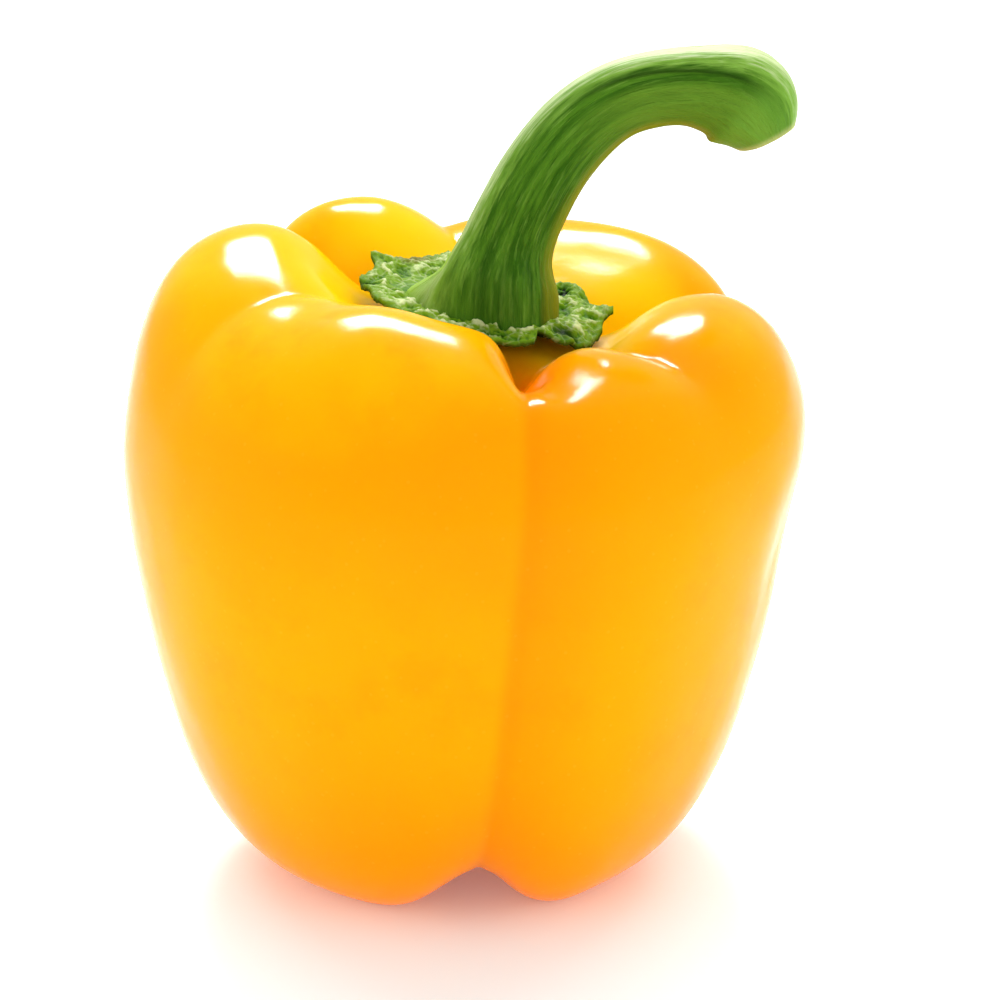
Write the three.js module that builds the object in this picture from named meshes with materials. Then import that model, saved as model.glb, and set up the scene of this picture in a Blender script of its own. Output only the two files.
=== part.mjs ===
// A ripe yellow bell pepper, as picked, standing on the bumps of its blossom end.
// Millimetres, +Z up, the surface it stands on at Z = 0, its front towards -Y.
// Three pieces that grew one on the other: the fruit, the calyx in the dip of its
// shoulders, and the stem that hooks over to the right.
import * as THREE from 'three';

const DEG = Math.PI / 180;

// The fruit's section along the top of a lobe, as radius and height: from the blossom
// end, out over the foot, up the wall and over the shoulder, down to the calyx's seat
const CREST = [
  [0, 8.0], [5, 7.5], [10, 3.6], [16, -1.2], [23, -0.6], [32.2, 5.6],
  [38.2, 18.5], [42, 35], [44.6, 51], [44.4, 63], [40.0, 74.5], [32.0, 81.0],
  [23.5, 81.5], [17.6, 76.0], [14.0, 71.4], [7, 71.9], [0, 72.2],
];

// The lobes, by the angle of their shoulders: how much higher each shoulder is, how much
// further out its crest, its wall and its waist are, and how much lower its foot is. The
// broad one at the back has two shoulders.
const LOBES = [
  { at: 42, rise: -3.5, crest: 3.7, wall: 1.6, waist: 0.0, drop: 0.4 },
  { at: 70, rise: -3.5, crest: 3.2, wall: 1.0, waist: 0.0, drop: 0.6 },
  { at: 120, rise: 0.9, crest: 1.4, wall: 0.0, waist: 0.0, drop: 2.3 },
  { at: 172, rise: 2.3, crest: 1.8, wall: -0.6, waist: 0.3, drop: -0.4 },
  { at: 236, rise: -1.2, crest: -2.0, wall: 0.0, waist: 0.2, drop: -0.2 },
  { at: 305, rise: -3.8, crest: -1.0, wall: 0.0, waist: 0.0, drop: 0.4 },
  { at: 350, rise: -3.4, crest: 1.8, wall: -0.2, waist: -2.6, drop: 0.8 },
];

// The furrows between them: depths in millimetres and widths in degrees, each at the
// shoulder, at mid height and at the foot, between which shares of the way up the
// shoulder's depth begins, and how much narrower it is there towards smaller angles.
// The ones at 208 and 323 are shallow.
const FURROWS = [
  { at: 23, depth: [8.0, 1.6, 5.0], width: [12, 16, 18], begins: [0.50, 0.70], skew: 0 },
  { at: 98, depth: [4.3, 1.2, 4.0], width: [12, 16, 18], begins: [0.50, 0.70], skew: 0 },
  { at: 143, depth: [8.0, 1.6, 5.0], width: [9, 16, 18], begins: [0.50, 0.70], skew: 0.2 },
  { at: 208, depth: [2.2, 0.3, 0.0], width: [13, 16, 20], begins: [0.50, 0.70], skew: 0 },
  { at: 283, depth: [8.6, 1.0, 7.0], width: [8.5, 9, 18], begins: [0.62, 0.74], skew: 0.5 },
  { at: 323, depth: [4.2, 1.0, 0.8], width: [12, 18, 20], begins: [0.55, 0.73], skew: 0 },
];
const TWIST = 14; // degrees that a furrow turns between foot and shoulder
const SEAT_X = 3.0; // the calyx sits this far right of the fruit's axis
const TOP_LEAN = { x: -0.045, y: 0.05 }; // rise of the shoulders per millimetre
const SEAT_LEAN = { x: -0.125, y: 0.04 }; // further rise of the dip per millimetre

// The calyx: a thin leathery plate, highest at the left, with an uneven rim that has a few
// teeth and, at 305, a notch
const CALYX = { level: 75.0, lean: { x: -0.17, y: 0.09 }, radius: 13.6 };
const CALYX_OFF_ROUND = { size: 1.2, at: 175 };
const CALYX_CURL = { height: 0.2, at: 140 };
const CALYX_THICK = { middle: 1.3, rim: 0.72 };
const RIM_DROP = 0.2;
const TEETH = [
  { at: 5, length: 2.2, width: 5, lift: 0.9 },
  { at: 30, length: 0.8, width: 18, lift: 1.3 },
  { at: 75, length: 0.8, width: 9, lift: 0.3 },
  { at: 110, length: 1.8, width: 6, lift: 0.3 },
  { at: 155, length: 2.1, width: 5, lift: 0.5 },
  { at: 180, length: 1.8, width: 12, lift: 0.5 },
  { at: 205, length: 1.2, width: 10, lift: 0.4 },
  { at: 250, length: 0.4, width: 9, lift: 0.5 },
  { at: 285, length: 0.6, width: 12, lift: 0.1 },
  { at: 305, length: -2.4, width: 8, lift: 0.6 },
  { at: 330, length: 0.6, width: 9, lift: -0.4 },
  { at: 350, length: 2.0, width: 20, lift: -0.4 },
];
const RIM_WAVES = [
  { height: 0.3, count: 5, phase: 1.0 },
  { height: 0.2, count: 9, phase: 2.0 },
];

// The stem's centre line from the calyx to the cut end, and its radius along it
const STEM_LINE = [
  [3.4, -2.1, 75.2], [3.7, -1.6, 78.0], [4.6, -0.5, 81.4], [6.2, 0, 85.8],
  [9.1, 0.2, 91.4], [12.9, 0.5, 97.0], [19.0, 0.9, 101.6], [26.0, 1.2, 102.9],
  [30.8, 1.5, 102.5], [34.4, 1.7, 101.5], [36.5, 1.8, 99.1], [38.0, 1.9, 96.0],
];
const STEM_RADII = [8.0, 7.6, 5.9, 5.5, 5.25, 5.0, 4.75, 4.55, 5.2, 6.8, 6.6, 4.0];
const STEM_RIBS = { height: 0.04, atBase: 0.02, count: 5, turn: -0.035 };
const STEM_SPREAD = { length: 3.8, at: 183, width: 34 }; // how the foot runs out at its left
const STEM_GAP = 0.55; // between the stem's foot and the calyx
const END_DISH = 0.4; // how far the middle of the cut end sinks

// Points around and along each piece. The fruit's lines run down its deepest furrows,
// and the calyx's end in the tips of its teeth.
const FRUIT_GRID = { around: 72, along: 44, start: 3 };
const CALYX_GRID = { around: 72, along: 7, start: 0 };
const STEM_GRID = { around: 24, along: 36, start: 0 };

// The model's own axis is the middle of what it covers
const CENTRE = { x: -0.28, y: -0.08 };

const { clamp } = THREE.MathUtils;

function smooth(from, to, value) {
  const t = clamp((value - from) / (to - from), 0, 1);
  return t * t * (3 - 2 * t);
}

// 1 between the two middle values, 0 outside the outer ones
function window4(a, b, c, d, value) {
  return smooth(a, b, value) * (1 - smooth(c, d, value));
}

// A cubic B-spline that starts at the first point and ends at the last
function spline(points, t) {
  const last = points.length - 1;
  const beyond = (a, b) => a.map((value, k) => 2 * value - b[k]);
  const all = [beyond(points[0], points[1]), ...points, beyond(points[last], points[last - 1])];
  const x = clamp(t, 0, 1) * last;
  const i = Math.min(Math.floor(x), last - 1);
  const f = x - i;
  const weights = [
    (1 - f) ** 3,
    3 * f ** 3 - 6 * f ** 2 + 4,
    -3 * f ** 3 + 3 * f ** 2 + 3 * f + 1,
    f ** 3,
  ];
  return all[0].map((_, k) => weights.reduce((sum, w, j) => sum + w * all[i + j][k], 0) / 6);
}

// Degrees between two directions, from 0 to 180
function apart(a, b) {
  return Math.abs(THREE.MathUtils.euclideanModulo(a - b + 180, 360) - 180);
}

// The lobe's value at this angle, going smoothly from each lobe to the next
function fromLobes(name, angle) {
  const u = THREE.MathUtils.euclideanModulo(angle - LOBES[0].at, 360);
  for (let i = 0; i < LOBES.length; i += 1) {
    const here = LOBES[i];
    const next = LOBES[(i + 1) % LOBES.length];
    const start = here.at - LOBES[0].at;
    const end = i + 1 < LOBES.length ? next.at - LOBES[0].at : 360;
    if (u <= end) {
      return here[name] + (next[name] - here[name]) * smooth(start, end, u);
    }
  }
  return LOBES[0][name];
}

// How deep the furrows are at this angle, s of the way from blossom end to seat
function furrowDepth(angle, s) {
  const middle = window4(0.2, 0.4, 0.5, 0.7, s);
  const foot = window4(0.03, 0.14, 0.20, 0.42, s);
  // cusped between the shoulders, rounded lower down
  const high = smooth(0.50, 0.68, s);
  const power = 1.9 - 0.75 * high;
  let total = 0;
  for (const { at, depth, width, begins, skew } of FURROWS) {
    const beyond = THREE.MathUtils.euclideanModulo(angle - at + 180, 360) - 180;
    const away = (Math.hypot(beyond, 0.7) - 0.7) / (1 + skew * high * Math.sign(beyond));
    const shoulder = window4(begins[0], begins[1], 0.80, 0.93, s);
    const wide = width[2] + (width[1] - width[2]) * smooth(0.15, 0.4, s)
      + (width[0] - width[1]) * smooth(0.45, 0.66, s);
    const deep = depth[0] * shoulder + depth[1] * middle + depth[2] * foot;
    total += deep * Math.exp(-((away / wide) ** power));
  }
  return total;
}

// The fruit's surface, s of the way along the section at this angle
function fruitPoint(angle, s) {
  let [r, z] = spline(CREST, s);
  r += fromLobes('wall', angle) * window4(0.25, 0.45, 0.70, 0.85, s)
    + fromLobes('crest', angle) * window4(0.54, 0.70, 0.78, 0.92, s)
    + fromLobes('waist', angle) * window4(0.14, 0.28, 0.46, 0.58, s);
  z += fromLobes('rise', angle) * window4(0.45, 0.70, 0.72, 0.88, s)
    - fromLobes('drop', angle) * window4(0.08, 0.18, 0.22, 0.36, s);

  // a furrow sinks straight into the skin, and over the shoulder mostly downwards
  const before = spline(CREST, Math.max(s - 0.002, 0));
  const after = spline(CREST, Math.min(s + 0.002, 1));
  const across = new THREE.Vector2(after[1] - before[1], before[0] - after[0]).normalize();
  across.x *= 1 - 0.6 * smooth(0.66, 0.80, s);
  const sunk = furrowDepth(angle, s);
  r -= sunk * across.x;
  z -= sunk * across.y;

  const turned = (angle - TWIST * (1 - smooth(0.0, 0.75, s))) * DEG;
  const x = r * Math.cos(turned) + SEAT_X * smooth(0.6, 0.9, s);
  const y = r * Math.sin(turned);
  z += smooth(0.5, 0.9, s) * (TOP_LEAN.x * x + TOP_LEAN.y * y);
  z += smooth(0.80, 0.92, s) * (SEAT_LEAN.x * (x - SEAT_X) + SEAT_LEAN.y * y);
  return new THREE.Vector3(x, y, Math.max(z, 0));
}

function calyxLevel(x, y) {
  return CALYX.level + CALYX.lean.x * (x - SEAT_X) + CALYX.lean.y * y;
}

// The calyx's upper or lower face, at a share of the way out to its toothed rim
function calyxPoint(angle, share, lower) {
  let rim = CALYX.radius + CALYX_OFF_ROUND.size * Math.cos((angle - CALYX_OFF_ROUND.at) * DEG);
  let lift = CALYX_CURL.height * Math.cos((angle - CALYX_CURL.at) * DEG);
  for (const tooth of TEETH) {
    const shape = Math.exp(-((apart(angle, tooth.at) / tooth.width) ** 1.5));
    rim += tooth.length * shape;
    lift += tooth.lift * shape;
  }
  const x = SEAT_X + share * rim * Math.cos(angle * DEG);
  const y = share * rim * Math.sin(angle * DEG);
  let z = calyxLevel(x, y) + smooth(0.7, 1.0, share) * (lift - RIM_DROP);
  for (const { height, count, phase } of RIM_WAVES) {
    z += smooth(0.78, 0.95, share) * height * Math.sin(count * angle * DEG + phase);
  }
  if (lower) {
    z -= CALYX_THICK.middle + (CALYX_THICK.rim - CALYX_THICK.middle) * smooth(0.7, 1.0, share);
  }
  return new THREE.Vector3(x, y, z);
}

// The stem's surface, t of the way along it
function stemPoint(angle, t) {
  const centre = new THREE.Vector3(...spline(STEM_LINE, t));
  const before = new THREE.Vector3(...spline(STEM_LINE, t - 0.001));
  const along = new THREE.Vector3(...spline(STEM_LINE, t + 0.001)).sub(before).normalize();
  const back = new THREE.Vector3(0, 1, 0).addScaledVector(along, -along.y).normalize();
  const side = new THREE.Vector3().crossVectors(back, along);

  const phi = angle * DEG;
  const { height, atBase, count, turn } = STEM_RIBS;
  const ribs = Math.cos(count * (phi - turn)) + 0.3 * Math.cos(2 * count * (phi - turn))
    + 0.25 * Math.cos(3 * phi + 1);
  const rise = height * (1 - 0.5 * smooth(0.8, 1.0, t)) + atBase * (1 - smooth(0.0, 0.25, t));
  let [radius] = spline(STEM_RADII.map((value) => [value]), t);
  radius *= 1 + rise * ribs;
  const tongue = Math.exp(-((apart(angle, STEM_SPREAD.at) / STEM_SPREAD.width) ** 2));
  radius += STEM_SPREAD.length * tongue * (1 - smooth(0.0, 0.11, t));

  const point = centre.addScaledVector(side, radius * Math.cos(phi));
  point.addScaledVector(back, radius * Math.sin(phi));
  // the foot spreads level over the calyx
  const seat = calyxLevel(point.x, point.y) + STEM_GAP;
  point.z += (1 - smooth(0.0, 0.10, t)) * (seat - point.z + 40 * t);
  point.z = Math.max(point.z, seat);
  return point;
}

// A closed surface of rings between two end points, its faces pointing out where the
// rings turn anticlockwise as seen from the last one
function closedSurface(rings, first, last) {
  const around = rings[0].length;
  const points = [first, ...rings.flat(), last];
  const end = points.length - 1;
  const index = [];
  for (let j = 0; j < around; j += 1) {
    const k = (j + 1) % around;
    index.push(0, 1 + k, 1 + j);
    for (let i = 0; i + 1 < rings.length; i += 1) {
      const a = 1 + i * around + j;
      const b = 1 + i * around + k;
      index.push(a, b, b + around, a, b + around, a + around);
    }
    index.push(end - around + j, end - around + k, end);
  }
  const geometry = new THREE.BufferGeometry().setFromPoints(points);
  geometry.setIndex(index);
  geometry.computeVertexNormals();
  return geometry;
}

// One ring of points at each value, from a surface function of angle and value
function ringsOf(values, { around, start }, surface) {
  const angles = Array.from({ length: around }, (_, j) => start + (360 * j) / around);
  return values.map((value) => angles.map((angle) => surface(angle, value)));
}

function fruitGeometry() {
  const { along } = FRUIT_GRID;
  const values = Array.from({ length: along }, (_, i) => (i + 1) / (along + 1));
  return closedSurface(ringsOf(values, FRUIT_GRID, fruitPoint), fruitPoint(0, 0), fruitPoint(0, 1));
}

function calyxGeometry() {
  const { along } = CALYX_GRID;
  const shares = Array.from({ length: along }, (_, i) => ((i + 1) / along) ** 0.8);
  const under = ringsOf(shares, CALYX_GRID, (angle, share) => calyxPoint(angle, share, true));
  const over = ringsOf(shares.toReversed(), CALYX_GRID, (angle, share) => calyxPoint(angle, share, false));
  return closedSurface([...under, ...over], calyxPoint(0, 0, true), calyxPoint(0, 0, false));
}

function middleOf(ring) {
  return ring.reduce((sum, point) => sum.add(point), new THREE.Vector3()).divideScalar(ring.length);
}

function stemGeometry() {
  const { along } = STEM_GRID;
  const values = Array.from({ length: along }, (_, i) => i / (along - 1));
  const rings = ringsOf(values, STEM_GRID, stemPoint);
  const foot = middleOf(rings[0]);
  const end = middleOf(rings[along - 1]);
  const inward = middleOf(rings[along - 2]).sub(end).normalize();
  return closedSurface(rings, foot, end.addScaledVector(inward, END_DISH));
}

function piece(name, geometry, colour, roughness) {
  const material = new THREE.MeshStandardMaterial({ color: colour, roughness, metalness: 0 });
  const mesh = new THREE.Mesh(geometry, material);
  mesh.name = name;
  return mesh;
}

const pepper = new THREE.Group();
pepper.add(piece('fruit', fruitGeometry(), 0xffb000, 0.2));
pepper.add(piece('calyx', calyxGeometry(), 0x8db36b, 0.6));
pepper.add(piece('stem', stemGeometry(), 0x569a35, 0.5));
pepper.position.set(-CENTRE.x, -CENTRE.y, 0);

export default pepper;
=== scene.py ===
import math

import bpy
import numpy as np
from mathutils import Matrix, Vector, noise


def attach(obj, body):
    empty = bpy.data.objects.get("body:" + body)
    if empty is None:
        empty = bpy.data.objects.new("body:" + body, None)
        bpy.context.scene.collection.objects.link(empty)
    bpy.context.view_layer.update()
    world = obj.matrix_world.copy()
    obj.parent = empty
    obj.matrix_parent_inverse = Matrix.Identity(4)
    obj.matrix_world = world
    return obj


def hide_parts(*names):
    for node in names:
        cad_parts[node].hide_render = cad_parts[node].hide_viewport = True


# A ripe yellow bell pepper: a glossy furrowed fruit, its crinkled calyx and its hooked stem.
# Lengths are millimetres, as in the solids, until a mesh is made from them. The materials, the
# studio and the camera use metres. +Z is up, and the photograph was taken from -Y.
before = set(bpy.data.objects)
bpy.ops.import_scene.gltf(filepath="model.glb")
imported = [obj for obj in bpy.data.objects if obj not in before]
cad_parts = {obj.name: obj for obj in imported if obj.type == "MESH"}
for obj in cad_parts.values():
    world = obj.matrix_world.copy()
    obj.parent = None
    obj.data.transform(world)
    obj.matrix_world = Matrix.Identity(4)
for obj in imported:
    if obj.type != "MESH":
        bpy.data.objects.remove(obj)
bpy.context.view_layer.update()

MM = 0.001

# The same driving values as the solids have, so each finer piece lies where its solid does
CREST = [
    (0, 8.0), (5, 7.5), (10, 3.6), (16, -1.2), (23, -0.6), (32.2, 5.6),
    (38.2, 18.5), (42, 35), (44.6, 51), (44.4, 63), (40.0, 74.5), (32.0, 81.0),
    (23.5, 81.5), (17.6, 76.0), (14.0, 71.4), (7, 71.9), (0, 72.2),
]
# angle of each lobe, then its rise, crest, wall, waist and drop
LOBES = [
    (42, -3.5, 3.7, 1.6, 0.0, 0.4), (70, -3.5, 3.2, 1.0, 0.0, 0.6), (120, 0.9, 1.4, 0.0, 0.0, 2.3),
    (172, 2.3, 1.8, -0.6, 0.3, -0.4), (236, -1.2, -2.0, 0.0, 0.2, -0.2), (305, -3.8, -1.0, 0.0, 0.0, 0.4),
    (350, -3.4, 1.8, -0.2, -2.6, 0.8),
]
# angle of each furrow, its depths and its widths at the shoulder, at mid height and at the foot,
# the shares of the way up between which the shoulder's depth begins, and how much narrower it is
# on the side of the smaller angle
FURROWS = [
    (23, (8.0, 1.6, 5.0), (12, 16, 18), (0.50, 0.70), 0.0),
    (98, (4.3, 1.2, 4.0), (12, 16, 18), (0.50, 0.70), 0.0),
    (143, (8.0, 1.6, 5.0), (9, 16, 18), (0.50, 0.70), 0.2),
    (208, (2.2, 0.3, 0.0), (13, 16, 20), (0.50, 0.70), 0.0),
    (283, (8.6, 1.0, 7.0), (8.5, 9, 18), (0.62, 0.74), 0.5),
    (323, (4.2, 1.0, 0.8), (12, 18, 20), (0.55, 0.73), 0.0),
]
TWIST = 14  # how far the foot is turned against the shoulders, in degrees
SEAT_X = 3.0  # how far right of the middle the calyx sits
TOP_LEAN = (-0.045, 0.05)  # slopes of the shoulders, to the right and to the back
SEAT_LEAN = (-0.125, 0.04)  # further slopes of the dip between them

# The relief of the skin, finer than the solids have it.
# Gentle swells and hollows, as its highlights show them: angle, share of the way up, height, and
# width around and along
SWELLS = [
    (243, 0.70, 0.8, 14, 0.07), (222, 0.70, -0.4, 8, 0.06), (299, 0.73, 0.6, 10, 0.03),
    (290, 0.67, -0.7, 7, 0.035), (285, 0.64, 0.35, 4, 0.02), (191, 0.72, -0.6, 15, 0.05),
    (132, 0.75, -0.8, 20, 0.045), (50, 0.775, -0.8, 18, 0.045), (349, 0.47, -0.25, 6, 0.03),
]
SKIN_WAVES = [(0.14, 11.0, 1), (0.04, 4.5, 2)]  # height, size and seed
FRONT_CREASE = 283  # angle of the line down the front where two lobes meet
CREASE_GROOVE = (0.35, 1.9)  # its depth and width

CALYX_LEVEL = 75.0
CALYX_LEAN = (-0.17, 0.09)  # its slopes, to the right and to the back
CALYX_RADIUS = 13.6
CALYX_OFF_ROUND = (1.2, 175)  # how much further it reaches on one side, and at which angle
CALYX_CURL = (0.2, 140)  # how much higher its rim is on one side, and at which angle
CALYX_THICK = (1.3, 0.72)  # at its middle and at its rim
RIM_DROP = 0.2
# angle, length, width and lift of each lobe and tooth of the rim, with one notch
TEETH = [
    (5, 2.2, 5, 0.9), (30, 0.8, 18, 1.3), (75, 0.8, 9, 0.3), (110, 1.8, 6, 0.3), (155, 2.1, 5, 0.5),
    (180, 1.8, 12, 0.5), (205, 1.2, 10, 0.4), (250, 0.4, 9, 0.5), (285, 0.6, 12, 0.1),
    (305, -2.4, 8, 0.6), (330, 0.6, 9, -0.4), (350, 2.0, 20, -0.4),
]
# height, count and phase of the waves in the rim
RIM_WAVES = [(0.3, 5, 1.0), (0.2, 9, 2.0)]
# folds of the crumpled face, coarse to fine: weight, ridge height, drop beside it, size and seed
CRUMPLES = [(0.44, 0.9, 2.6, 3.4, 3), (0.38, 0.7, 2.4, 1.5, 4), (0.26, 0.6, 2.2, 0.8, 9)]
DEEPEST_HOLLOW = -0.55  # the crumpling goes no lower, so the plate keeps its thickness
# one deep fold beside the notch, also painted with shade: angle, share of the way out, widths around and
# outwards, depth
DEEP_FOLD = (326, 0.84, 7, 0.10, 0.5)
DARK_STRIP = (270, 26, 0.45)  # the shaded strip in front of the stem: angle, width and darkness
DRY_MARGIN = (135, 11, 0.6)  # the dry stretch of rim at the back: angle, width and strength

STEM_LINE = [
    (3.4, -2.1, 75.2), (3.7, -1.6, 78.0), (4.6, -0.5, 81.4), (6.2, 0, 85.8),
    (9.1, 0.2, 91.4), (12.9, 0.5, 97.0), (19.0, 0.9, 101.6), (26.0, 1.2, 102.9),
    (30.8, 1.5, 102.5), (34.4, 1.7, 101.5), (36.5, 1.8, 99.1), (38.0, 1.9, 96.0),
]
STEM_LENGTH = 58.0
STEM_RADII = [8.0, 7.6, 5.9, 5.5, 5.25, 5.0, 4.75, 4.55, 5.2, 6.8, 6.6, 4.0]
STEM_RIBS = dict(height=0.04, at_base=0.02, count=5, turn=-0.035)
STEM_SPREAD = (3.8, 183, 34)  # how far the foot runs out at its left: length, angle and width
STEM_SINK = 0.15  # how deep the foot is sunk into the calyx
FOOT_RISE = 40.0  # how far the foot's surface would rise from the calyx by the stem's end
# ribs, fibres, lumps and fine fibres: height, width over length, size and seed
STEM_RELIEF = [(0.26, 0.05, 3.2, 6), (0.11, 0.10, 1.3, 5), (0.10, 1.0, 4.5, 7), (0.04, 0.16, 0.6, 10)]
FLUTES = (0.7, 0.08, 1.8, 11)  # the narrow folds of the foot: the same, but a depth
STEM_GROOVE = (234, 4.5, 0.40)  # the groove along the bend: angle, width and depth
BEND_REACH = 20  # how many rings on each side even out one ring inside the last bend
CUT_RINGS = [0.93, 0.8, 0.6, 0.4, 0.2]  # sizes of the rings that close the cut face
CUT_DISH = 0.4  # how deep the cut face is dished
CUT_ROUGH = (0.16, 1.1, 8)  # its roughness: height, size and seed

# The middle of the box, which the origin lies under
CENTRE = (-0.28, -0.08)

# How many points each mesh has around and along
FRUIT_MESH = (440, 210)
CALYX_MESH = (480, 54)
STEM_MESH = (200, 260)


def smooth(a, b, x):
    """0 up to a and 1 from b, smooth between."""
    t = np.clip((x - a) / (b - a), 0, 1)
    return t * t * (3 - 2 * t)


def window4(a, b, c, d, x):
    """0 up to a, 1 from b to c, and 0 again from d."""
    return smooth(a, b, x) * (1 - smooth(c, d, x))


def beside(a, b):
    """How far angle a is past angle b, in degrees, negative before it."""
    return np.mod(a - b + 180, 360) - 180


def apart(a, b):
    return np.abs(beside(a, b))


def spline(points, t):
    """A cubic B-spline from the first point to the last, at every value of t."""
    p = np.asarray(points, float)
    p = np.vstack([2 * p[0] - p[1], p, 2 * p[-1] - p[-2]])
    last = len(p) - 3
    x = np.clip(t, 0, 1) * last
    i = np.minimum(x.astype(int), last - 1)
    f = (x - i)[..., None]
    weights = [(1 - f) ** 3, 3 * f**3 - 6 * f**2 + 4, -3 * f**3 + 3 * f**2 + 3 * f + 1, f**3]
    return sum(w * p[i + k] for k, w in enumerate(weights)) / 6


def around_once(count):
    """Angles in degrees, evenly round, as one row."""
    return (np.arange(count) * 360 / count)[None, :]


def from_lobes(column, angle):
    """The lobes' value in this column, going smoothly from each lobe to the next."""
    first = LOBES[0][0]
    u = np.mod(angle - first, 360)
    out = np.zeros_like(u)
    for here, after in zip(LOBES, LOBES[1:] + [(first + 360,) + LOBES[0][1:]]):
        a, b = here[0] - first, after[0] - first
        inside = (u >= a) & (u < b)
        value = here[column] + (after[column] - here[column]) * smooth(a, b, u)
        out = np.where(inside, value, out)
    return out


def furrow_depth(angle, s):
    """How deep all the furrows together are here."""
    middle = window4(0.2, 0.4, 0.5, 0.7, s)
    foot = window4(0.03, 0.14, 0.20, 0.42, s)
    high = smooth(0.50, 0.68, s)
    # furrows are rounded low down and sharper at the shoulders
    power = 1.9 - 0.75 * high
    total = np.zeros_like(angle + s)
    for at, depth, width, begins, skew in FURROWS:
        beyond = beside(angle, at)
        away = (np.hypot(beyond, 0.7) - 0.7) / (1 + skew * high * np.sign(beyond))
        wide = (width[2] + (width[1] - width[2]) * smooth(0.15, 0.4, s)
                + (width[0] - width[1]) * smooth(0.45, 0.66, s))
        shoulder = window4(begins[0], begins[1], 0.80, 0.93, s)
        deep = depth[0] * shoulder + depth[1] * middle + depth[2] * foot
        total = total + deep * np.exp(-((away / wide) ** power))
    return total


def fruit_point(angle, s):
    """The fruit's surface, s of the way from blossom end to calyx seat, and how deep it is sunk."""
    angle, s = np.broadcast_arrays(angle, s)
    r, z = np.moveaxis(spline(CREST, s), -1, 0)
    r = (r + from_lobes(3, angle) * window4(0.25, 0.45, 0.70, 0.85, s)
         + from_lobes(2, angle) * window4(0.54, 0.70, 0.78, 0.92, s)
         + from_lobes(4, angle) * window4(0.14, 0.28, 0.46, 0.58, s))
    z = (z + from_lobes(1, angle) * window4(0.45, 0.70, 0.72, 0.88, s)
         - from_lobes(5, angle) * window4(0.08, 0.18, 0.22, 0.36, s))
    step = spline(CREST, np.minimum(s + 0.002, 1)) - spline(CREST, np.maximum(s - 0.002, 0))
    across = np.stack([step[..., 1], -step[..., 0]], -1)
    across /= np.linalg.norm(across, axis=-1, keepdims=True)
    sunk = furrow_depth(angle, s)
    r = r - sunk * across[..., 0] * (1 - 0.6 * smooth(0.66, 0.80, s))
    z = z - sunk * across[..., 1]
    turned = np.radians(angle - TWIST * (1 - smooth(0.0, 0.75, s)))
    x = r * np.cos(turned) + SEAT_X * smooth(0.6, 0.9, s)
    y = r * np.sin(turned)
    z = z + smooth(0.5, 0.9, s) * (TOP_LEAN[0] * x + TOP_LEAN[1] * y)
    z = z + smooth(0.80, 0.92, s) * (SEAT_LEAN[0] * (x - SEAT_X) + SEAT_LEAN[1] * y)
    return np.stack([x, y, z], -1), sunk


def calyx_level(x, y):
    """The height of the calyx's plane."""
    return CALYX_LEVEL + CALYX_LEAN[0] * (x - SEAT_X) + CALYX_LEAN[1] * y


def calyx_point(angle, share):
    """The calyx's upper face before it is crinkled, a share of the way out to its rim."""
    angle, share = np.broadcast_arrays(angle, share)
    phi = np.radians(angle)
    rim = CALYX_RADIUS + CALYX_OFF_ROUND[0] * np.cos(phi - np.radians(CALYX_OFF_ROUND[1]))
    lift = CALYX_CURL[0] * np.cos(phi - np.radians(CALYX_CURL[1]))
    for at, length, width, rise in TEETH:
        shape = np.exp(-((apart(angle, at) / width) ** 1.5))
        rim = rim + length * shape
        lift = lift + rise * shape
    x = SEAT_X + share * rim * np.cos(phi)
    y = share * rim * np.sin(phi)
    z = calyx_level(x, y) + smooth(0.7, 1.0, share) * (lift - RIM_DROP)
    for height, count, phase in RIM_WAVES:
        z = z + smooth(0.78, 0.95, share) * height * np.sin(count * phi + phase)
    return np.stack([x, y, z], -1)


def stem_frame(t):
    """The centre line and the two directions across it."""
    centre = spline(STEM_LINE, t)
    along = spline(STEM_LINE, t + 0.001) - spline(STEM_LINE, t - 0.001)
    along /= np.linalg.norm(along, axis=-1, keepdims=True)
    back = np.array([0.0, 1.0, 0.0]) - along * along[..., 1:2]
    back /= np.linalg.norm(back, axis=-1, keepdims=True)
    return centre, np.cross(back, along), back


def stem_point(angle, t, extra):
    """The stem's surface, with extra radius, its foot sunk a little into the calyx."""
    angle, t = np.broadcast_arrays(angle, t)
    centre, side, back = stem_frame(t)
    phi = np.radians(angle)
    count, turn = STEM_RIBS["count"], STEM_RIBS["turn"]
    ribs = (np.cos(count * (phi - turn)) + 0.3 * np.cos(2 * count * (phi - turn))
            + 0.25 * np.cos(3 * phi + 1))
    rise = (STEM_RIBS["height"] * (1 - 0.5 * smooth(0.8, 1.0, t))
            + STEM_RIBS["at_base"] * (1 - smooth(0.0, 0.25, t)))
    radius = spline([(value,) for value in STEM_RADII], t)[..., 0] * (1 + rise * ribs)
    tongue = STEM_SPREAD[0] * np.exp(-((apart(angle, STEM_SPREAD[1]) / STEM_SPREAD[2]) ** 2))
    radius = radius + tongue * (1 - smooth(0.0, 0.11, t))
    radius = radius + extra
    point = centre + radius[..., None] * (side * np.cos(phi)[..., None] + back * np.sin(phi)[..., None])
    seat = calyx_level(point[..., 0], point[..., 1]) - STEM_SINK
    point[..., 2] += (1 - smooth(0.0, 0.10, t)) * (seat - point[..., 2] + FOOT_RISE * t)
    point[..., 2] = np.maximum(point[..., 2], seat)
    return point


def noise_at(points, size, seed):
    """Smooth noise from -1 to 1 at each point, its lumps about this size."""
    shape = points.shape[:-1]
    flat = points.reshape(-1, 3) / size + seed * 17.3
    return np.array([noise.noise(Vector(p)) for p in flat]).reshape(shape)


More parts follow.
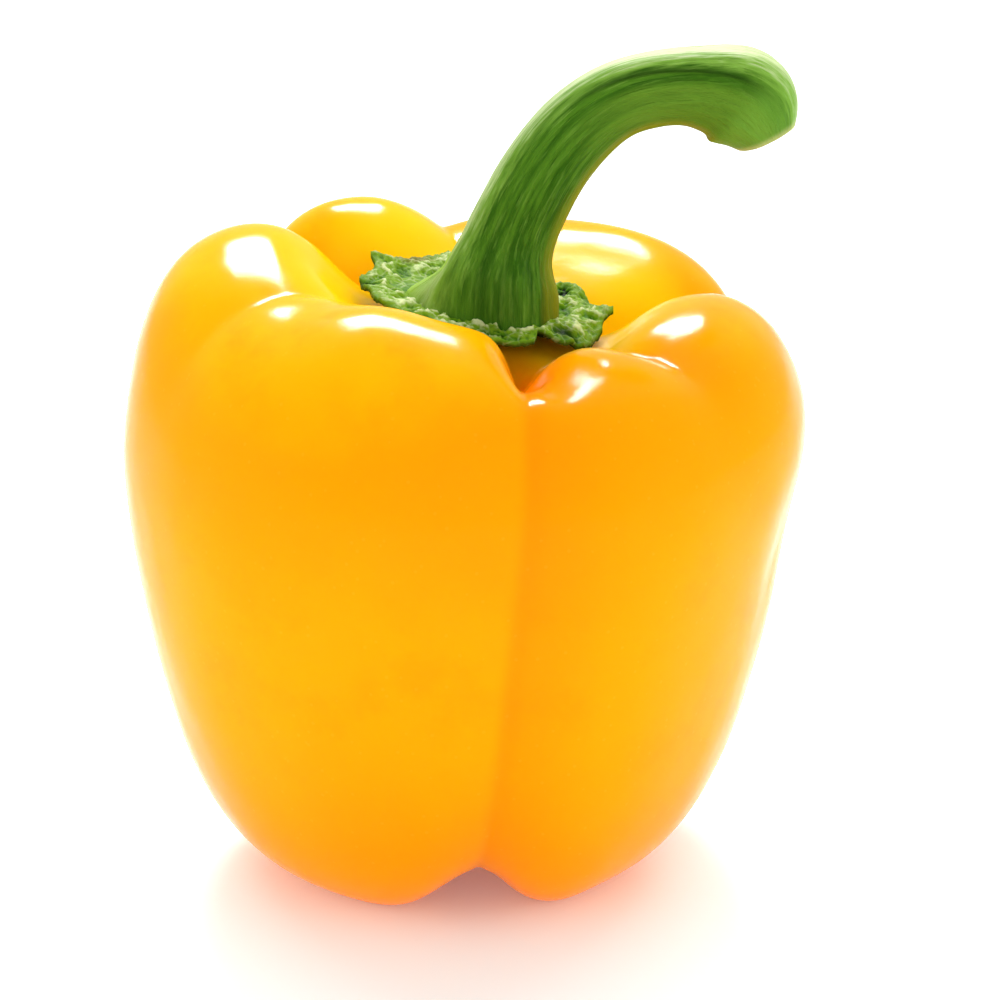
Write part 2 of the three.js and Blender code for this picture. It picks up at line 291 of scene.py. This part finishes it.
def closed_mesh(name, rings, first, last, attributes):
    """A closed mesh of rings between two end points.

    Each attribute has a value for every point of the rings, and one for each end point.
    """
    rows, around = rings.shape[:2]
    points = np.vstack([first[None], rings.reshape(-1, 3), last[None]])
    points = (points - np.array([CENTRE[0], CENTRE[1], 0.0])) * MM
    faces = []
    end = len(points) - 1
    for j in range(around):
        k = (j + 1) % around
        faces.append((0, 1 + k, 1 + j))
        faces.append((end - around + j, end - around + k, end))
        for i in range(rows - 1):
            a, b = 1 + i * around + j, 1 + i * around + k
            faces.append((a, b, b + around, a + around))
    mesh = bpy.data.meshes.new(name)
    mesh.from_pydata(points.tolist(), [], faces)
    mesh.validate()
    mesh.shade_smooth()
    for key, (values, start, stop) in attributes.items():
        vector = np.ndim(start) == 1
        layer = mesh.attributes.new(key, "FLOAT_VECTOR" if vector else "FLOAT", "POINT")
        full = np.concatenate([np.ravel(start), np.ravel(values), np.ravel(stop)])
        layer.data.foreach_set("vector" if vector else "value", full.astype(np.float32))
    piece = bpy.data.objects.new(name, mesh)
    bpy.context.scene.collection.objects.link(piece)
    return piece


def srgb(r, g, b):
    """A colour as seen, 0 to 255, in the linear values that a shader takes."""
    def lin(v):
        v /= 255
        return v / 12.92 if v <= 0.04045 else ((v + 0.055) / 1.055) ** 2.4
    return (lin(r), lin(g), lin(b), 1.0)


class Shader:
    """A material's node tree, built by short calls."""

    def __init__(self, name):
        self.material = bpy.data.materials.new(name)
        self.material.use_nodes = True
        self.tree = self.material.node_tree
        self.surface = self.tree.nodes["Principled BSDF"]

    def add(self, kind, inputs, **settings):
        made = self.tree.nodes.new(kind)
        for key, value in settings.items():
            setattr(made, key, value)
        for key, value in inputs.items():
            self.put(made, key, value)
        return made

    def put(self, made, key, value):
        socket = made.inputs[key]
        if isinstance(value, bpy.types.NodeSocket):
            self.tree.links.new(value, socket)
        else:
            socket.default_value = value

    def place(self):
        return self.add("ShaderNodeTexCoord", {}).outputs["Object"]

    def attribute(self, name, output="Fac"):
        return self.add("ShaderNodeAttribute", {}, attribute_name=name).outputs[output]

    def noise(self, vector, scale, detail=2.0, roughness=0.5):
        made = self.add("ShaderNodeTexNoise", {"Vector": vector, "Scale": scale, "Detail": detail,
                                               "Roughness": roughness})
        return made.outputs["Fac"]

    def cells(self, vector, scale, feature):
        """The distance to the middle of the nearest cell, or to its edge."""
        made = self.add("ShaderNodeTexVoronoi", {"Vector": vector, "Scale": scale, "Randomness": 1.0},
                        feature=feature)
        return made.outputs["Distance"]

    def ramp(self, value, low, high):
        """0 at low and 1 at high, smooth between; low may be the larger number."""
        made = self.add("ShaderNodeMapRange", {"Value": value, "From Min": low, "From Max": high},
                        interpolation_type="SMOOTHSTEP")
        return made.outputs["Result"]

    def between(self, value, low, high):
        """From low to high as the value goes from 0 to 1."""
        made = self.add("ShaderNodeMapRange", {"Value": value, "To Min": low, "To Max": high})
        return made.outputs["Result"]

    def math(self, operation, a, b):
        return self.add("ShaderNodeMath", {0: a, 1: b}, operation=operation).outputs[0]

    def plus(self, a, b):
        return self.math("ADD", a, b)

    def times(self, a, b):
        return self.math("MULTIPLY", a, b)

    def sway(self, value, texture, by):
        """The value, moved up and down by the texture, by this much from its lowest to its highest."""
        return self.plus(value, self.times(self.math("SUBTRACT", texture, 0.5), by))

    def tint(self, colour, over, share, strength=None):
        """The colour with another over it, by a share that varies and, at most, by the strength."""
        if strength is not None:
            share = self.times(share, strength)
        return self.add("ShaderNodeMix", {0: share, 6: colour, 7: over}, data_type="RGBA").outputs[2]

    def bump(self, height, strength, distance, normal=None):
        inputs = {"Height": height, "Strength": strength, "Distance": distance}
        if normal is not None:
            inputs["Normal"] = normal
        return self.add("ShaderNodeBump", inputs).outputs["Normal"]

    def finish(self, **inputs):
        for key, value in inputs.items():
            self.put(self.surface, key.replace("_", " "), value)
        return self.material


def skin_material():
    """Waxy skin over translucent flesh: yellow above, partly painted light, orange low down, with painted
    shade in the furrows and a painted glow near the floor.
    """
    sh = Shader("pepper_skin")
    place = sh.place()
    height = sh.add("ShaderNodeSeparateXYZ", {"Vector": place}).outputs["Z"]
    patches = sh.noise(place, 28.0, 3.0, 0.5)
    blotches = sh.noise(place, 95.0, 4.0, 0.6)
    # the bands of colour go by height, and patches make them run into each other
    level = sh.sway(height, patches, 0.030)
    colour = sh.tint(srgb(250, 146, 0), srgb(252, 160, 0), sh.ramp(level, 0.006, 0.034))
    colour = sh.tint(colour, srgb(253, 150, 0), sh.ramp(level, 0.040, 0.066))
    # yellow near the top: partly the skin's own colour, partly painted light on the top-lit shoulders
    colour = sh.tint(colour, srgb(255, 178, 0), sh.ramp(level, 0.068, 0.084))
    colour = sh.tint(colour, srgb(252, 150, 0), sh.ramp(blotches, 0.45, 0.75), 0.6)
    # painted shade: a deeper orange in the furrows and along the front crease; painted light: lighter in
    # the dip of the shoulders
    colour = sh.tint(colour, srgb(244, 126, 0), sh.attribute("furrow"), 0.45)
    colour = sh.tint(colour, srgb(246, 132, 0), sh.attribute("crease"), 0.55)
    colour = sh.tint(colour, srgb(255, 202, 6), sh.attribute("bowl"), 0.8)
    # yellow-green where the neck shows under the calyx
    colour = sh.tint(colour, srgb(200, 150, 10), sh.attribute("seat"), 0.85)
    # the corky scar where the flower was
    scar = sh.times(sh.attribute("scar"), sh.ramp(sh.noise(place, 900.0, 3.0), 0.25, 0.5))
    colour = sh.tint(colour, srgb(128, 92, 48), scar)
    # fine pale flecks in the skin
    colour = sh.tint(colour, srgb(255, 214, 92), sh.ramp(sh.cells(place, 520.0, "F1"), 0.16, 0.07), 0.06)
    rough = sh.between(sh.noise(place, 180.0, 3.0), 0.14, 0.18)
    rough = sh.plus(rough, sh.times(scar, 0.3))
    dimples = sh.noise(place, 1500.0, 2.0, 0.5)
    waves = sh.noise(place, 150.0, 2.0, 0.5)
    normal = sh.bump(waves, 0.12, 0.0008)
    normal = sh.bump(dimples, 0.05, 0.0002, normal)
    # a painted glow: the skin emits light low down, standing in for light that comes through the flesh
    # where the fruit nearly touches the floor
    glow = sh.tint(srgb(0, 0, 0), srgb(114, 46, 0), sh.ramp(height, 0.013, 0.002))
    return sh.finish(Base_Color=colour, Roughness=rough, Normal=normal, Subsurface_Weight=0.30,
                     Emission_Color=glow, Emission_Strength=1.0,
                     Subsurface_Radius=(1.0, 0.42, 0.05), Subsurface_Scale=0.006, IOR=1.45,
                     Specular_IOR_Level=0.04)


def calyx_material():
    """Leathery and crumpled: painted highlights whitish on the folds, painted shade dark green in the
    hollows.
    """
    sh = Shader("pepper_calyx")
    place = sh.place()
    mottle = sh.noise(place, 420.0, 4.0, 0.6)
    fine = sh.noise(place, 1500.0, 3.0, 0.6)
    height = sh.sway(sh.sway(sh.attribute("crinkle"), mottle, 0.6), fine, 0.5)
    # painted shade dark green in the hollows, painted highlights whitish on the highest folds
    colour = sh.tint(srgb(12, 36, 2), srgb(78, 124, 14), sh.ramp(height, 0.16, 0.44))
    colour = sh.tint(colour, srgb(120, 156, 28), sh.ramp(height, 0.42, 0.68))
    colour = sh.tint(colour, srgb(208, 218, 156), sh.ramp(height, 0.72, 1.02))
    # painted highlights: a net of thin pale lines on the fine ridges
    net = sh.ramp(sh.cells(place, 620.0, "DISTANCE_TO_EDGE"), 0.10, 0.02)
    ridge_glint = sh.times(net, sh.ramp(mottle, 0.40, 0.62))
    colour = sh.tint(colour, srgb(202, 214, 160), ridge_glint, 0.35)
    colour = sh.tint(colour, srgb(96, 132, 36), sh.attribute("rim"), 0.40)
    # painted shade in the deep fold and on the strip in front of the stem
    colour = sh.tint(colour, srgb(20, 44, 6), sh.attribute("shade"))
    colour = sh.tint(colour, srgb(120, 84, 40), sh.attribute("dry"))
    normal = sh.bump(fine, 0.5, 0.0003)
    normal = sh.bump(mottle, 0.5, 0.0007, normal)
    return sh.finish(Base_Color=colour, Roughness=0.65, Normal=normal, Specular_IOR_Level=0.02,
                     Subsurface_Weight=0.06, Subsurface_Radius=(0.5, 1.0, 0.2),
                     Subsurface_Scale=0.0015)


def stem_material():
    """Fleshy green with fibres along it: painted light and highlights along the top, painted yellowish
    reflected light underneath, and yellowish at the cut.
    """
    sh = Shader("pepper_stem")
    place = sh.place()
    grain = sh.attribute("grain", "Vector")
    fibres = sh.noise(grain, 1.6, 4.0, 0.65)
    streaks = sh.noise(grain, 4.6, 3.0, 0.6)
    patches = sh.noise(place, 130.0, 3.0, 0.5)
    # 1 along the top or left side of the stem, -1 along its underside
    upper = sh.sway(sh.attribute("upper"), fibres, 0.35)
    bend = sh.attribute("bend")
    colour = sh.tint(srgb(46, 88, 12), srgb(74, 118, 26), sh.ramp(fibres, 0.38, 0.62))
    # pale streaks along the fibres, painted glints
    colour = sh.tint(colour, srgb(110, 150, 56), sh.ramp(streaks, 0.50, 0.70), 0.4)
    colour = sh.tint(colour, srgb(50, 94, 18), sh.ramp(patches, 0.5, 0.8), 0.35)
    # painted light: the front and the underside of the bend made lighter, as if lit from below
    colour = sh.tint(colour, srgb(98, 134, 38), sh.times(sh.ramp(upper, 0.40, 0.12), bend), 0.7)
    # painted reflected light: yellowish along the underside
    colour = sh.tint(colour, srgb(132, 134, 26), sh.ramp(upper, -0.74, -1.05))
    # painted light along the top, with a whitish painted highlight, strongest on the bend
    pale = sh.plus(sh.times(bend, 0.55), 0.45)
    upper = sh.sway(upper, streaks, 0.5)
    colour = sh.tint(colour, srgb(126, 168, 66), sh.times(sh.ramp(upper, 0.56, 0.84), pale))
    colour = sh.tint(colour, srgb(210, 222, 168), sh.times(sh.ramp(upper, 0.78, 1.00), pale))
    # the spread of the foot lighter yellow-green: partly its own colour, partly painted light
    colour = sh.tint(colour, srgb(150, 190, 60), sh.attribute("tongue"))
    # painted shade in the groove and the foot's flutes
    colour = sh.tint(colour, srgb(32, 64, 10), sh.attribute("hollow"), 0.8)
    colour = sh.tint(colour, srgb(108, 152, 50), sh.attribute("bulge"), 0.5)
    colour = sh.tint(colour, srgb(190, 188, 118), sh.attribute("cut"))
    normal = sh.bump(fibres, 0.7, 0.0007)
    normal = sh.bump(streaks, 0.8, 0.0005, normal)
    return sh.finish(Base_Color=colour, Roughness=0.55, Normal=normal, Subsurface_Weight=0.08,
                     Subsurface_Radius=(0.6, 1.0, 0.2), Subsurface_Scale=0.001,
                     Specular_IOR_Level=0.03)


def skin_relief(points, angle, s):
    """How far the skin is raised or sunk: its waviness, its swells and the groove down its front."""
    raised = sum(height * noise_at(points, size, seed) for height, size, seed in SKIN_WAVES)
    raised = raised * window4(0.04, 0.2, 0.84, 0.90, s)
    for at, level, height, wide, tall in SWELLS:
        raised = raised + height * np.exp(-((apart(angle, at) / wide) ** 2) - ((s - level) / tall) ** 2)
    depth, width = CREASE_GROOVE
    groove = np.exp(-((apart(angle, FRONT_CREASE) / width) ** 2)) * window4(0.12, 0.25, 0.64, 0.72, s)
    return raised - depth * groove


def skin_tints(angle, s, sunk):
    """How much of each tint is where, and its values at the blossom end and at the calyx seat."""
    front = np.exp(-((apart(angle, FRONT_CREASE + 6) / 20) ** 2))
    deepest = max(depth[0] for _, depth, _, _, _ in FURROWS)
    # painted shade in the furrows, less of it high up away from the front
    furrow = np.clip(sunk / deepest, 0, 1) * (1 - 0.8 * smooth(0.60, 0.72, s) * (1 - front))
    # painted light in the dip of the shoulders, away from the front
    bowl = np.broadcast_to(smooth(0.70, 0.80, s), furrow.shape) * (1 - front)
    seat = np.broadcast_to(smooth(0.84, 0.93, s), furrow.shape)
    scar = np.broadcast_to(1 - smooth(0.02, 0.035, s), furrow.shape)
    # painted shade along the line down the front where two lobes meet, deeper on its right
    beyond = beside(angle, FRONT_CREASE)
    line = np.exp(-((beyond / 1.6) ** 2)) + 0.8 * np.exp(-((beyond / 12) ** 2)) * smooth(-1, 3, beyond)
    crease = np.clip(line, 0, 1) * window4(0.10, 0.22, 0.66, 0.74, s)
    return {"furrow": (furrow, 0.0, 0.0), "seat": (seat, 0.0, 1.0), "scar": (scar, 1.0, 0.0),
            "crease": (crease, 0.0, 0.0), "bowl": (bowl, 0.0, 0.0)}


def make_fruit():
    """The fruit's skin, with the slight relief that its highlights show."""
    around, along = FRUIT_MESH
    angle = around_once(around)
    s = (np.arange(1, along) / along)[:, None]
    points, sunk = fruit_point(angle, s)
    beyond, _ = fruit_point(angle + 0.4, s)
    ahead, _ = fruit_point(angle, s + 0.001)
    outward = np.cross(beyond - points, ahead - points)
    outward /= np.linalg.norm(outward, axis=-1, keepdims=True) + 1e-9
    points = points + outward * skin_relief(points, angle, s)[..., None]
    points[..., 2] = np.maximum(points[..., 2], 0.0)
    ends = [fruit_point(np.array(0.0), np.array(v))[0] for v in (0.0, 1.0)]
    return closed_mesh("pepper_skin", points, ends[0], ends[1], skin_tints(angle, s, sunk))


def crinkles(points, angle, share):
    """How far the calyx's face is raised or sunk where it is crumpled."""
    flat = points * np.array([1.0, 1.0, 0.0])
    crumpled = sum(weight * (ridge - drop * np.abs(noise_at(flat, size, seed)))
                   for weight, ridge, drop, size, seed in CRUMPLES)
    # the crumpling begins further out where the stem's foot runs out
    begins = 0.50 + 0.18 * np.exp(-((apart(angle, STEM_SPREAD[1]) / 28) ** 2))
    return crumpled * smooth(begins, begins + 0.16, share) * (1 - 0.35 * smooth(0.9, 1.0, share))


def upwards(lengths):
    """Vectors of these lengths, straight up."""
    return np.stack([0 * lengths, 0 * lengths, lengths], -1)


def both_faces(under, over):
    """Values out along the under face, then back in along the upper one."""
    return np.concatenate([under, over[::-1]])


def make_calyx():
    """The crinkled plate with its teeth, upper and lower face."""
    around, along = CALYX_MESH
    angle = around_once(around)
    # the rings lie closer together towards the rim
    share = (((np.arange(along) + 1) / along) ** 0.8)[:, None]
    flat = calyx_point(angle, share)
    raised = crinkles(flat, angle, share)
    at, out, wide, tall, depth = DEEP_FOLD
    shade = np.exp(-((apart(angle, at) / wide) ** 2 + ((share - out) / tall) ** 2))
    raised = raised - depth * shade
    # the strip in front of the stem gets painted shade too
    at, wide, dark = DARK_STRIP
    strip = np.exp(-((apart(angle, at) / wide) ** 2)) * window4(0.66, 0.74, 0.93, 0.99, share)
    shade = np.maximum(shade, dark * strip)
    at, wide, brown = DRY_MARGIN
    dry = np.exp(-((apart(angle, at) / wide) ** 2)) * smooth(0.80, 0.90, share)
    over = flat + upwards(np.maximum(raised, DEEPEST_HOLLOW))
    thick = CALYX_THICK[0] + (CALYX_THICK[1] - CALYX_THICK[0]) * smooth(0.7, 1.0, share)
    # near the rim the under face follows the upper one
    sunk = np.minimum(raised, 0.3) * smooth(0.8, 1.0, share)
    under = flat - upwards(thick - sunk)
    height = np.clip(raised / 1.3 + 0.5, 0, 1)
    edge = np.broadcast_to(smooth(0.90, 1.0, share), raised.shape)
    middle = calyx_point(np.array(0.0), np.array(0.0))
    return closed_mesh("pepper_calyx", both_faces(under, over), middle - [0, 0, CALYX_THICK[0]], middle, {
        "crinkle": (both_faces(0 * raised, height), 0.0, 0.5),
        "rim": (both_faces(edge, edge), 0.0, 0.0),
        "shade": (both_faces(0 * shade, shade), 0.0, 0.0),
        "dry": (brown * both_faces(0 * dry, dry), 0.0, 0.0),
    })


def stem_relief(angle, t, cylinder):
    """How far the stem's side is raised or sunk, and where its groove and its foot's flutes are."""
    raised = sum(height * noise_at(cylinder * [1, 1, short], size, seed)
                 for height, short, size, seed in STEM_RELIEF)
    # the flutes die out upwards
    flute_depth, short, size, seed = FLUTES
    flutes = np.abs(noise_at(cylinder * [1, 1, short], size, seed)) * (1 - smooth(0.10, 0.32, t))
    # the groove follows the front of the bend, a third of the way down from its top
    at, wide, groove_depth = STEM_GROOVE
    course = at + 5 * np.sin(9 * t)
    groove = np.exp(-((apart(angle, course) / wide) ** 2)) * window4(0.44, 0.56, 0.78, 0.88, t)
    raised = raised - flute_depth * flutes - groove_depth * groove
    # the bulge at the end is smoother
    return raised * (1 - 0.75 * smooth(0.84, 0.95, t)), groove, flutes


def evened(rings, t, phi):
    """The rings, smoothed on the inside of the last bend, where they crowd together."""
    rows = len(rings)
    count = 2 * BEND_REACH + 1
    padded = np.concatenate([rings[:1].repeat(BEND_REACH, 0), rings, rings[-1:].repeat(BEND_REACH, 0)])
    even = sum(padded[k:k + rows] for k in range(count)) / count
    share = window4(0.72, 0.80, 0.92, 0.98, t) * np.clip(1.4 * np.cos(phi) + 0.4, 0, 1)
    return rings + (even - rings) * share[..., None]


def cut_face(last_ring, end, inward):
    """The rings that close the cut end, dished towards the middle and a little rough."""
    height, size, seed = CUT_ROUGH
    face = []
    for k in CUT_RINGS:
        ring = end + (last_ring - end) * k + inward * CUT_DISH * (1 - k) ** 0.7
        face.append(ring + inward * (height * noise_at(ring, size, seed))[:, None])
    return np.array(face)


def make_stem():
    """The stalk, with its fibres, the groove along its bend, the flutes of its foot and its cut end."""
    around, along = STEM_MESH
    angle = around_once(around)
    t = (np.arange(along) / (along - 1))[:, None]
    phi = np.radians(angle)
    # the relief is drawn on a straight cylinder, round which the fibres wind slightly
    twist = phi + 0.5 * t
    cylinder = np.stack(np.broadcast_arrays(6 * np.cos(twist), 6 * np.sin(twist), t * STEM_LENGTH), -1)
    raised, groove, flutes = stem_relief(angle, t, cylinder)
    rings = evened(stem_point(angle, t, raised), t, phi)
    end = rings[-1].mean(0)
    inward = rings[-2].mean(0) - end
    inward /= np.linalg.norm(inward)
    rings = np.concatenate([rings, cut_face(rings[-1], end, inward)])
    # the material's fibres are drawn on a far shorter one, which makes them long
    grain = np.stack(np.broadcast_arrays(3 * np.cos(twist), 3 * np.sin(twist), t * 3), -1)
    on_the_cut = np.repeat(grain[-1:], len(CUT_RINGS), 0) * np.array(CUT_RINGS)[:, None, None]
    grain = np.concatenate([grain, on_the_cut])

    def carried(values, at_the_cut=0.0):
        """Values on the sides, and one value all over the cut face."""
        sides = np.broadcast_to(values, (along, around))
        return np.concatenate([sides, np.full((len(CUT_RINGS), around), at_the_cut)])

    # painted shade in the groove and the flutes
    hollow = np.clip(groove + 1.1 * flutes, 0, 1)
    tongue = np.exp(-((apart(angle, STEM_SPREAD[1] - 3) / 28) ** 2)) * (1 - smooth(0.08, 0.24, t))
    return closed_mesh("pepper_stem", rings, rings[0].mean(0), end + inward * CUT_DISH, {
        "grain": (grain, grain[0].mean(0), grain[-1].mean(0)),
        "cut": (carried(0.7 * smooth(0.97, 1.0, t), 1.0), 0.0, 1.0),
        "upper": (carried(-np.cos(phi)), 0.0, 0.0),
        "bend": (carried(smooth(0.40, 0.60, t)), 0.0, 0.0),
        "hollow": (carried(hollow), 0.0, 0.0),
        "tongue": (carried(tongue), 0.0, 0.0),
        "bulge": (carried(smooth(0.78, 0.88, t)), 0.0, 0.0),
    })


for piece, node, slot, material in (
    (make_fruit(), "fruit", "skin", skin_material()),
    (make_calyx(), "calyx", "calyx", calyx_material()),
    (make_stem(), "stem", "stem", stem_material()),
):
    piece.data.materials.append(material)
    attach(piece, "root")
    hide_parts(node)


# The studio, in metres: a pale floor, one light for the gloss, and wide soft ones behind, at the
# sides and in front for the body colour
FLOOR_HALF = 2.0
MIDDLE = Vector((0.0, 0.0, 0.05))
# name, place, size, watts, and whether it lights the body colour or the gloss
LIGHTS = [
    ("gloss", (-0.07, 0.68, 0.80), (0.42, 0.30), 50.0, "gloss"),
    ("behind", (0.0, 0.62, 0.75), (1.4, 0.9), 12.0, "body"),
    ("left", (-0.9, -0.15, 0.16), (0.8, 0.5), 3.0, "body"),
    ("right", (0.9, -0.15, 0.16), (0.8, 0.5), 3.2, "body"),
    ("front", (0.0, -0.95, 0.30), (0.9, 0.5), 2.0, "body"),
]
SKY = 0.82


def make_floor():
    """Pale paper, which glows a little so that the shadow on it stays light."""
    mesh = bpy.data.meshes.new("floor")
    corners = [(x * FLOOR_HALF, y * FLOOR_HALF, 0) for x, y in ((-1, -1), (1, -1), (1, 1), (-1, 1))]
    mesh.from_pydata(corners, [], [(0, 1, 2, 3)])
    floor = bpy.data.objects.new("floor", mesh)
    bpy.context.scene.collection.objects.link(floor)
    sh = Shader("floor_paper")
    mesh.materials.append(sh.finish(Base_Color=(0.88, 0.94, 0.97, 1.0), Roughness=0.6,
                                    Emission_Color=(0.3, 0.85, 1.0, 1.0), Emission_Strength=0.10))


def soft_light(name, place, size, power, lights_up):
    """A rectangular light that faces the pepper, for its body colour or for its gloss."""
    data = bpy.data.lights.new(name, "AREA")
    data.shape = "RECTANGLE"
    data.size, data.size_y = size
    data.energy = power
    light = bpy.data.objects.new(name, data)
    light.location = place
    light.rotation_euler = (MIDDLE - Vector(place)).to_track_quat("-Z", "Y").to_euler()
    light.visible_diffuse = lights_up == "body"
    light.visible_glossy = lights_up == "gloss"
    bpy.context.scene.collection.objects.link(light)


make_floor()
for light in LIGHTS:
    soft_light(*light)

world = bpy.data.worlds.new("studio")
world.use_nodes = True
sky = world.node_tree.nodes["Background"].inputs
sky["Color"].default_value = (1.0, 1.0, 1.0, 1.0)
sky["Strength"].default_value = SKY
bpy.context.scene.world = world

# The camera, as high and as far as the photograph's was
ELEVATION = math.radians(18)
DISTANCE = 0.62
VIEW_WIDTH = 0.129  # what the picture spans at the pepper
AIM = Vector((0.00454, 0.00009, 0.0482))
camera_data = bpy.data.cameras.new("camera")
camera_data.sensor_width = 36.0
camera_data.lens = camera_data.sensor_width * DISTANCE / VIEW_WIDTH
camera = bpy.data.objects.new("camera", camera_data)
camera.location = AIM + DISTANCE * Vector((0.0, -math.cos(ELEVATION), math.sin(ELEVATION)))
camera.rotation_euler = (math.pi / 2 - ELEVATION, 0.0, 0.0)
bpy.context.scene.collection.objects.link(camera)
bpy.context.scene.camera = camera
bpy.context.scene.view_settings.view_transform = "Standard"
